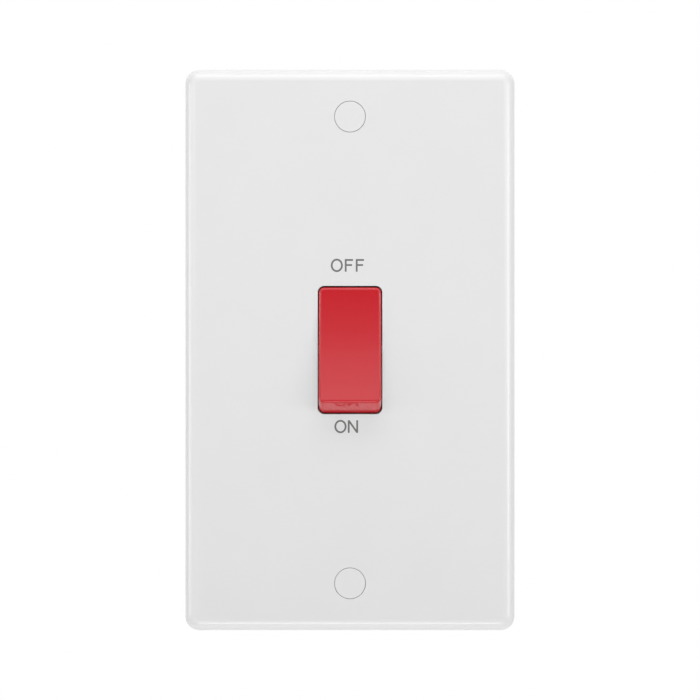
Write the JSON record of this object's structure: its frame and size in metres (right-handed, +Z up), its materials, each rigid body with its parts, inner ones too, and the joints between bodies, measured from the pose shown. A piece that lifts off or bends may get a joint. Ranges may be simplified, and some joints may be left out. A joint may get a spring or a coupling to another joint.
{
  "type": "cooker switch",
  "caption": "Tall white wall plate with a red rocker between ON and OFF words, round caps over its fixing screws, and a switch base behind it.",
  "frame": {"origin": "centre of the plate on the wall plane, midway between the two fixing holes", "axes": "+X to the right as seen from the front, +Y into the wall, +Z up the plate; the front faces -Y"},
  "size_m": [0.086, 0.0374, 0.146],
  "materials": {
    "white_plastic": "satin gloss moulded",
    "red_plastic": "gloss moulded",
    "base_moulding": "matt moulded",
    "brass": "machined",
    "copper": "rolled strip",
    "silver": "satin",
    "steel": "zinc plated",
    "plated_screw": "plated",
    "nylon": "moulded nylon"
  },
  "bodies": {
    "switch_body": {"front_plate": "white_plastic", "upper_screw_cap": "white_plastic", "lower_screw_cap": "white_plastic", "switch_base": "base_moulding", "base_screws": "steel", "terminal_screws": "plated_screw", "earth_terminal": "brass", "earth_screws": "plated_screw", "live_supply_terminal": "brass", "live_load_terminal": "brass", "live_fixed_tip": "silver", "neutral_supply_terminal": "brass", "neutral_load_terminal": "brass", "neutral_fixed_tip": "silver"},
    "rocker": {"rocker": "red_plastic", "live_spring": "steel", "neutral_spring": "steel"},
    "live_plunger": {"live_plunger": "nylon"},
    "live_contact_arm": {"live_moving_contact": "copper", "live_moving_tip": "silver"},
    "neutral_plunger": {"neutral_plunger": "nylon"},
    "neutral_contact_arm": {"neutral_moving_contact": "copper", "neutral_moving_tip": "silver"}
  },
  "joints": [
    {"name": "rocker_tilt", "type": "hinge", "parent": "switch_body", "child": "rocker", "pos_m": [0, -0.0045, 0], "axis": [1, 0, 0], "range_deg": [0, 20]},
    {"name": "live_plunger_slide", "type": "slide", "parent": "rocker", "child": "live_plunger", "axis": [0, -0.9848, 0.1736], "range_m": [0, 0.0008], "stiffness_N_per_m": 600, "deforming": ["live_spring"]},
    {"name": "live_contact_rock", "type": "hinge", "parent": "switch_body", "child": "live_contact_arm", "pos_m": [0.0046, 0.00759, 0], "axis": [1, 0, 0], "range_deg": [-15, 0]},
    {"name": "neutral_plunger_slide", "type": "slide", "parent": "rocker", "child": "neutral_plunger", "axis": [0, -0.9848, 0.1736], "range_m": [0, 0.0008], "stiffness_N_per_m": 600, "deforming": ["neutral_spring"]},
    {"name": "neutral_contact_rock", "type": "hinge", "parent": "switch_body", "child": "neutral_contact_arm", "pos_m": [-0.0046, 0.00759, 0], "axis": [1, 0, 0], "range_deg": [-15, 0]}
  ],
  "couplings": [
    {"joint": "live_contact_rock", "follows": "rocker_tilt", "ratio": -0.75},
    {"joint": "neutral_contact_rock", "follows": "rocker_tilt", "ratio": -0.75}
  ]
}
